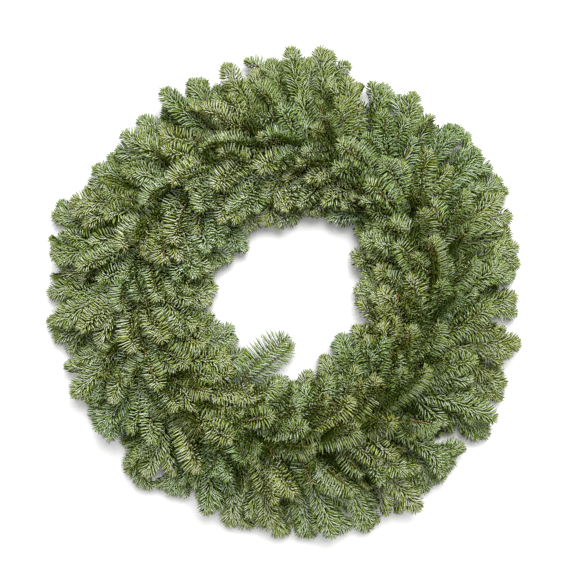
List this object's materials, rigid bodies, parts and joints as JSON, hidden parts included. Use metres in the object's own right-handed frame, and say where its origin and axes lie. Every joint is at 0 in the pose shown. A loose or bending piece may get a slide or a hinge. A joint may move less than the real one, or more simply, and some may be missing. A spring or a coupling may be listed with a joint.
{
  "type": "evergreen wreath",
  "caption": "Round wreath of fresh noble fir sprays that all lie counter-clockwise, held in bunches by the clamps of a flat wire ring, with an open middle.",
  "frame": {"origin": "middle of the wreath's outline, in the plane that the ring's underside rests on", "axes": "+Z out of the wreath's face, +Y towards its top as it hangs, +X to the right seen from the front"},
  "size_m": [0.5893, 0.6112, 0.119],
  "materials": {
    "ring_wire": "dark green lacquer, satin",
    "fir": "fresh fir needles with a waxy bloom, on brown twigs"
  },
  "bodies": {
    "root": {"wire_ring": "ring_wire", "bunch_01": "fir", "bunch_02": "fir", "bunch_03": "fir", "bunch_04": "fir", "bunch_05": "fir", "bunch_06": "fir", "bunch_07": "fir", "bunch_08": "fir", "bunch_09": "fir", "bunch_10": "fir", "bunch_11": "fir", "bunch_12": "fir", "bunch_13": "fir", "bunch_14": "fir", "bunch_15": "fir", "bunch_16": "fir", "bunch_17": "fir", "bunch_18": "fir", "bunch_19": "fir", "bunch_20": "fir", "bunch_21": "fir", "bunch_22": "fir"}
  },
  "joints": []
}
